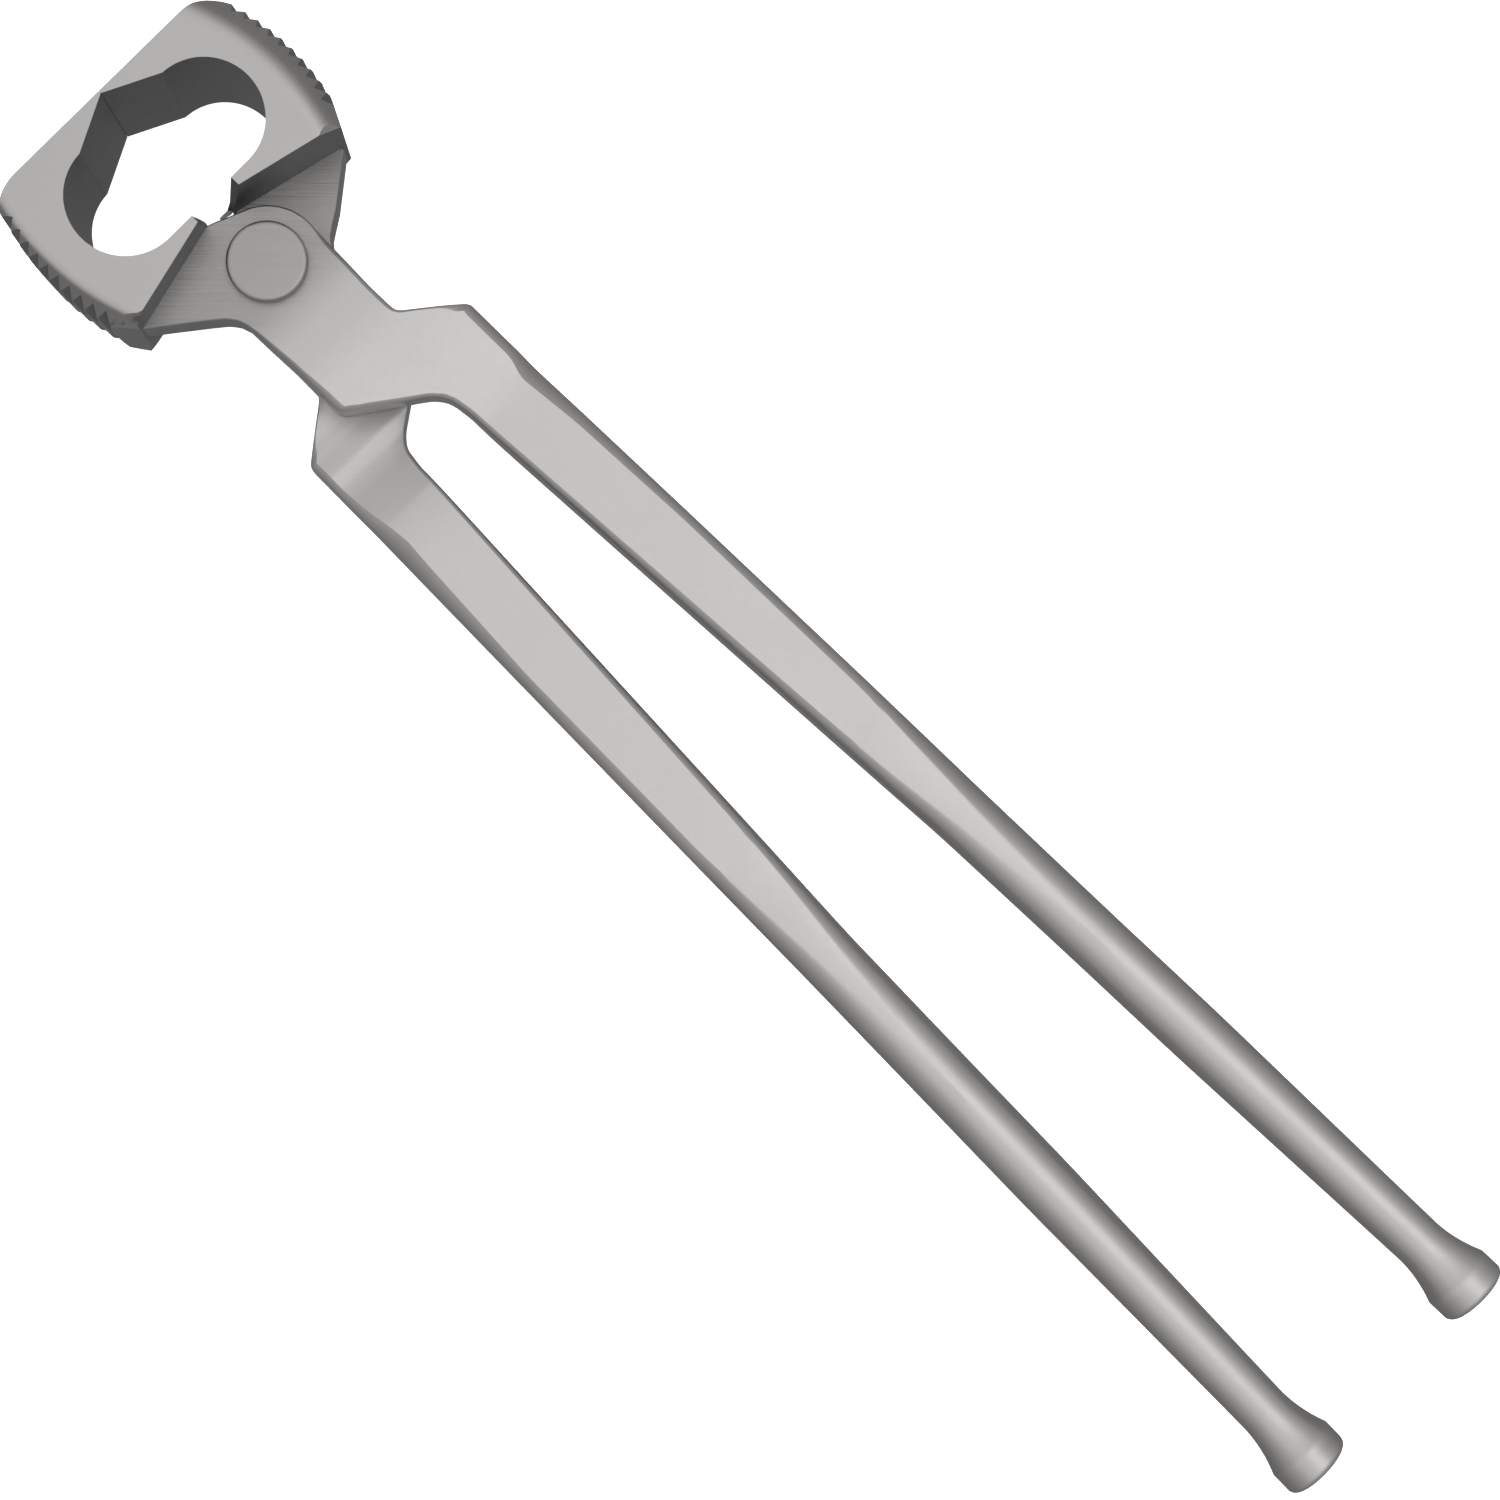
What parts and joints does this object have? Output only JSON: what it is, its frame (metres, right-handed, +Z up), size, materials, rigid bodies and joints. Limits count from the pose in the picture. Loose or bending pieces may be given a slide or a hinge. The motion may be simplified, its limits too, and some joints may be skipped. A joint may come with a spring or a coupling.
{
  "type": "hoof nipper",
  "caption": "Long-handled steel hoof nipper: two forged halves that cross at a rivet, with broad flush blades, a round mouth, serrated jaw sides and flared round handle ends.",
  "frame": {"origin": "middle of the footprint, on the plane of the head's lower side faces", "axes": "+X from the cutting edge towards the handle ends, +Z up along the rivet, +Y towards the rein of the upper half"},
  "size_m": [0.3556, 0.0664, 0.037],
  "materials": {
    "forged_steel": "satin ground stainless steel with fine belt-grinding lines",
    "rivet_steel": "turned satin steel with a slightly brighter face"
  },
  "bodies": {
    "front_body": {"front_half": "forged_steel", "rivet": "rivet_steel"},
    "rear_body": {"rear_half": "forged_steel"}
  },
  "joints": [
    {"name": "pivot", "type": "hinge", "parent": "front_body", "child": "rear_body", "pos_m": [-0.1338, 0, 0.0185], "axis": [0, 0, -1], "range_deg": [0, 76]}
  ]
}
